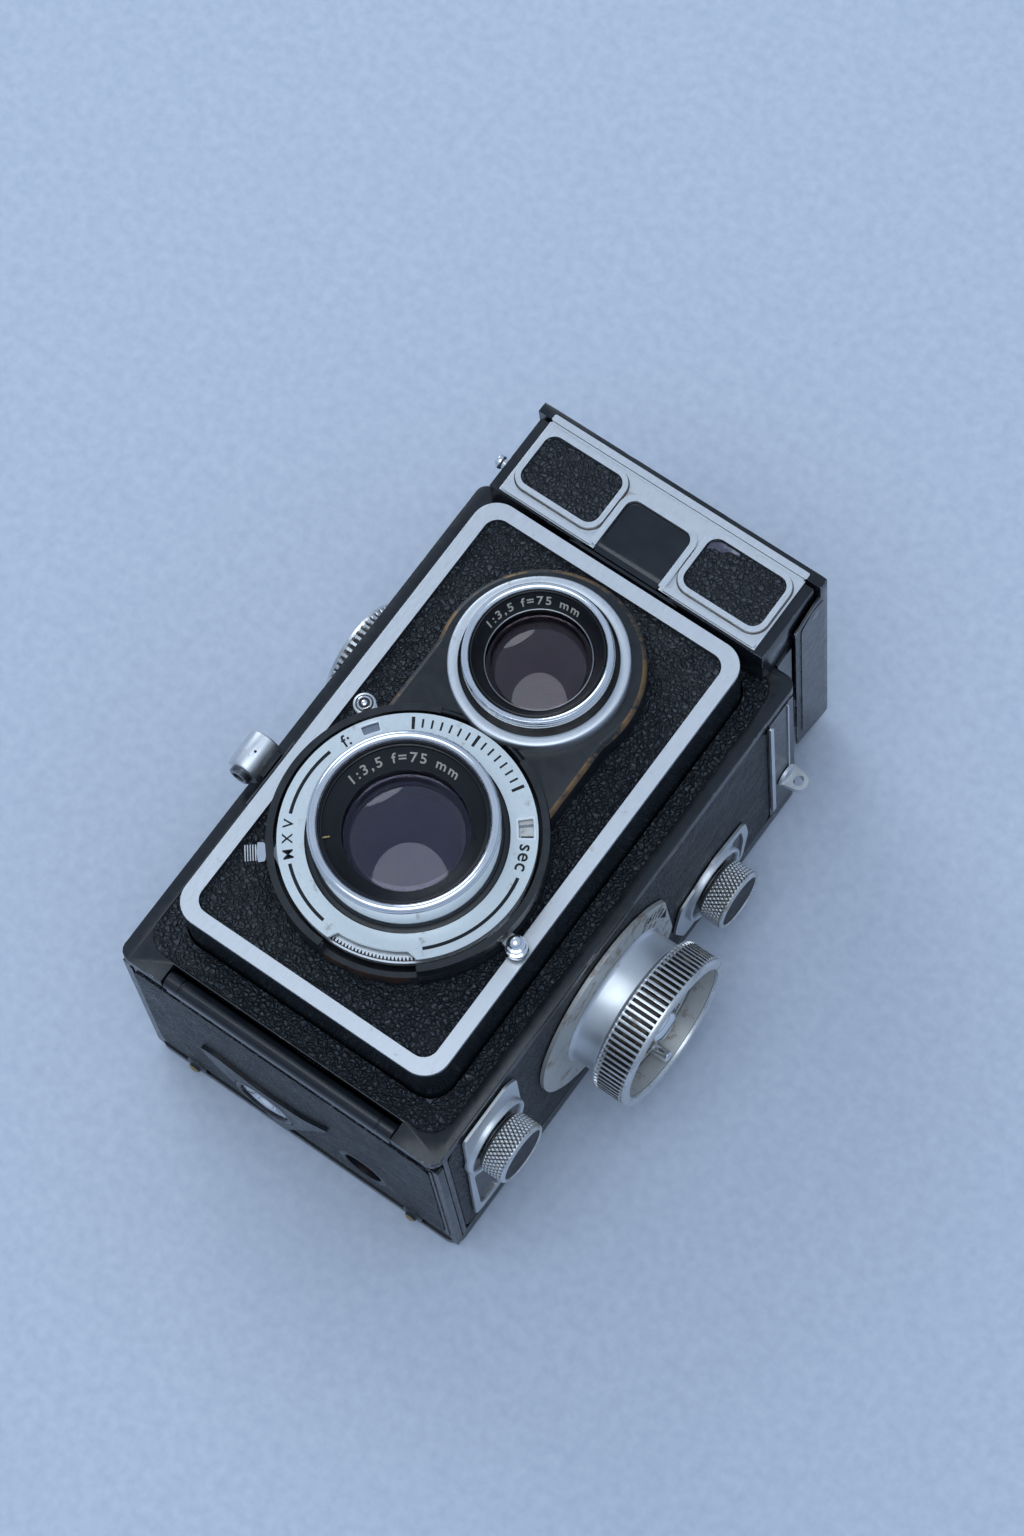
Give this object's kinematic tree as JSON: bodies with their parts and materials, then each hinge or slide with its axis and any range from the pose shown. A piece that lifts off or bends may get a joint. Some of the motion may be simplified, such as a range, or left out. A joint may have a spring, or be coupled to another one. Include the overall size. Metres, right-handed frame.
{
  "type": "twin lens reflex camera",
  "caption": "Twin lens reflex camera with a folding waist-level hood, leaf-shutter front standard, focusing knob, film winding knob and hinged back.",
  "frame": {"origin": "middle of the back door's outer face", "axes": "+Z along both lens axes and out of the front, +Y towards the focusing hood, +X towards the focusing knob"},
  "size_m": [0.1066, 0.1419, 0.0899],
  "materials": {
    "black_enamel": "glossy black enamel",
    "satin_aluminium": "satin",
    "chrome": "polished",
    "bright_steel": "brushed",
    "black_leather": "fine pebble grain",
    "black_anodised": "matt black anodised",
    "black_plastic": "matt",
    "badge_black": "mirror-gloss black",
    "taking_glass": "violet coating",
    "viewing_glass": "violet-brown coating",
    "clear_glass": "clear",
    "ground_glass": "ground",
    "front_mirror": "front-silvered",
    "red_glass": "dark red"
  },
  "bodies": {
    "body": {"body_shell": "black_enamel", "front_border_leather": "black_leather", "right_side_leather": "black_leather", "left_side_leather": "black_leather", "hinge_pin": "bright_steel", "focus_flange": "satin_aluminium", "upper_wing_plate": "satin_aluminium", "lower_wing_plate": "satin_aluminium", "strap_lug_right": "bright_steel", "strap_lug_left": "bright_steel", "mirror": "front_mirror", "hood_base": "black_enamel", "ground_glass": "ground_glass", "hood_front_plate": "satin_aluminium", "hood_leather_left": "black_leather", "hood_leather_right": "black_leather", "badge_plate": "badge_black"},
    "standard": {"lens_board": "black_enamel", "board_leather": "black_leather", "frame_trim": "satin_aluminium", "lens_plate": "black_enamel", "viewing_ring": "satin_aluminium", "viewing_bezel": "chrome", "viewing_name_ring": "black_anodised", "viewing_lens": "viewing_glass", "shutter_housing": "black_enamel", "shutter_faceplate": "satin_aluminium", "taking_bezel": "chrome", "taking_name_ring": "black_anodised", "taking_lens": "taking_glass", "rear_lens_cell": "taking_glass"},
    "hood_lid": {"hood_lid": "black_enamel"},
    "hood_flap_left": {"hood_flap_left": "black_enamel"},
    "hood_flap_right": {"hood_flap_right": "black_enamel"},
    "hood_rear_flap": {"hood_rear_flap": "black_enamel"},
    "magnifier": {"magnifier_arm": "black_enamel", "magnifier_lens": "clear_glass"},
    "hood_latch": {"hood_latch": "chrome"},
    "speed_ring": {"speed_ring": "satin_aluminium"},
    "aperture_lever": {"aperture_lever": "chrome"},
    "cocking_lever": {"cocking_lever": "chrome"},
    "sync_lever": {"sync_lever": "chrome"},
    "shutter_release": {"shutter_release": "satin_aluminium"},
    "focus_knob": {"focus_knob": "satin_aluminium", "focus_shaft": "bright_steel"},
    "reminder_disc": {"reminder_disc": "satin_aluminium"},
    "lower_knob_sleeve": {"lower_knob_sleeve": "satin_aluminium"},
    "lower_knob": {"lower_knob": "satin_aluminium"},
    "upper_knob_sleeve": {"upper_knob_sleeve": "satin_aluminium"},
    "upper_knob": {"upper_knob": "satin_aluminium"},
    "wind_knob": {"wind_knob": "satin_aluminium"},
    "takeup_spool": {"takeup_spool": "black_plastic"},
    "supply_spool": {"supply_spool": "black_plastic"},
    "film_roller_top": {"film_roller_top": "chrome"},
    "film_roller_bottom": {"film_roller_bottom": "chrome"},
    "back_door": {"back_door": "black_enamel", "tripod_socket": "chrome", "red_window": "red_glass"},
    "pressure_plate": {"pressure_plate": "black_anodised"},
    "door_catch": {"door_catch": "chrome"}
  },
  "joints": [
    {"name": "focus_turn", "type": "hinge", "parent": "body", "child": "focus_knob", "pos_m": [0.047, -0.0055, 0.029], "axis": [1, 0, 0], "range_deg": [0, 270]},
    {"name": "front_focus", "type": "slide", "parent": "body", "child": "standard", "axis": [0, 0, 1], "range_m": [0, 0.0065]},
    {"name": "reminder_turn", "type": "hinge", "parent": "focus_knob", "child": "reminder_disc", "pos_m": [0.05, -0.0055, 0.029], "axis": [1, 0, 0], "range_deg": [-150, 150]},
    {"name": "speed_turn", "type": "hinge", "parent": "standard", "child": "speed_ring", "pos_m": [0, -0.0145, 0.078], "axis": [0, 0, 1], "range_deg": [-60, 60]},
    {"name": "aperture_turn", "type": "hinge", "parent": "standard", "child": "aperture_lever", "pos_m": [0, -0.0145, 0.076], "axis": [0, 0, 1], "range_deg": [-35, 12]},
    {"name": "cocking_turn", "type": "hinge", "parent": "standard", "child": "cocking_lever", "pos_m": [0, -0.0145, 0.076], "axis": [0, 0, 1], "range_deg": [0, 38]},
    {"name": "sync_turn", "type": "hinge", "parent": "standard", "child": "sync_lever", "pos_m": [0, -0.0145, 0.076], "axis": [0, 0, 1], "range_deg": [-9, 9]},
    {"name": "release_press", "type": "slide", "parent": "standard", "child": "shutter_release", "axis": [0, -1, 0], "range_m": [0, 0.004], "stiffness_N_per_m": 150, "springref_m": -0.002},
    {"name": "wind_turn", "type": "hinge", "parent": "body", "child": "wind_knob", "pos_m": [-0.046, 0.0285, 0.017], "axis": [-1, 0, 0], "continuous": true},
    {"name": "takeup_turn", "type": "hinge", "parent": "body", "child": "takeup_spool", "pos_m": [0, 0.0285, 0.017], "axis": [-1, 0, 0], "continuous": true},
    {"name": "supply_turn", "type": "hinge", "parent": "body", "child": "supply_spool", "pos_m": [0, -0.0457, 0.0402], "axis": [-1, 0, 0], "continuous": true},
    {"name": "roller_top_turn", "type": "hinge", "parent": "body", "child": "film_roller_top", "pos_m": [0, 0.0175, 0.0068], "axis": [1, 0, 0], "continuous": true},
    {"name": "roller_bottom_turn", "type": "hinge", "parent": "body", "child": "film_roller_bottom", "pos_m": [0, -0.047, 0.008], "axis": [1, 0, 0], "continuous": true},
    {"name": "lower_knob_pull", "type": "slide", "parent": "body", "child": "lower_knob_sleeve", "axis": [1, 0, 0], "range_m": [0, 0.005]},
    {"name": "lower_knob_turn", "type": "hinge", "parent": "lower_knob_sleeve", "child": "lower_knob", "pos_m": [0.044, -0.0457, 0.0402], "axis": [1, 0, 0], "continuous": true},
    {"name": "upper_knob_pull", "type": "slide", "parent": "body", "child": "upper_knob_sleeve", "axis": [1, 0, 0], "range_m": [0, 0.005]},
    {"name": "upper_knob_turn", "type": "hinge", "parent": "upper_knob_sleeve", "child": "upper_knob", "pos_m": [0.044, 0.0285, 0.017], "axis": [1, 0, 0], "continuous": true},
    {"name": "lid_open", "type": "hinge", "parent": "body", "child": "hood_lid", "pos_m": [0, 0.0761, 0.073], "axis": [1, 0, 0], "range_deg": [0, 90]},
    {"name": "left_flap_open", "type": "hinge", "parent": "body", "child": "hood_flap_left", "pos_m": [-0.032, 0.07, 0.03], "axis": [0, 0, 1], "range_deg": [0, 90]},
    {"name": "right_flap_open", "type": "hinge", "parent": "body", "child": "hood_flap_right", "pos_m": [0.032, 0.07, 0.03], "axis": [0, 0, -1], "range_deg": [0, 90]},
    {"name": "rear_flap_open", "type": "hinge", "parent": "body", "child": "hood_rear_flap", "pos_m": [0, 0.068, 0.0065], "axis": [-1, 0, 0], "range_deg": [0, 90]},
    {"name": "magnifier_open", "type": "hinge", "parent": "hood_lid", "child": "magnifier", "pos_m": [0, 0.074, 0.035], "axis": [-1, 0, 0], "range_deg": [0, 90]},
    {"name": "hood_latch_press", "type": "slide", "parent": "body", "child": "hood_latch", "axis": [0, 0, -1], "range_m": [0, 0.002], "stiffness_N_per_m": 50, "springref_m": -0.002},
    {"name": "back_open", "type": "hinge", "parent": "body", "child": "back_door", "pos_m": [0, -0.0599, 0.0574], "axis": [-1, 0, 0], "range_deg": [0, 100]},
    {"name": "pressure_plate_press", "type": "slide", "parent": "back_door", "child": "pressure_plate", "axis": [0, 0, -1], "range_m": [0, 0.0006], "stiffness_N_per_m": 500, "springref_m": -0.002},
    {"name": "door_catch_slide", "type": "slide", "parent": "back_door", "child": "door_catch", "axis": [1, 0, 0], "range_m": [0, 0.004]}
  ],
  "couplings": [
    {"joint": "focus_turn", "follows": "front_focus", "rad_per_m": 724.98},
    {"joint": "wind_turn", "follows": "takeup_turn", "ratio": 1},
    {"joint": "left_flap_open", "follows": "lid_open", "ratio": 1},
    {"joint": "right_flap_open", "follows": "lid_open", "ratio": 1},
    {"joint": "rear_flap_open", "follows": "lid_open", "ratio": 1},
    {"joint": "magnifier_open", "follows": "lid_open", "ratio": 1}
  ]
}
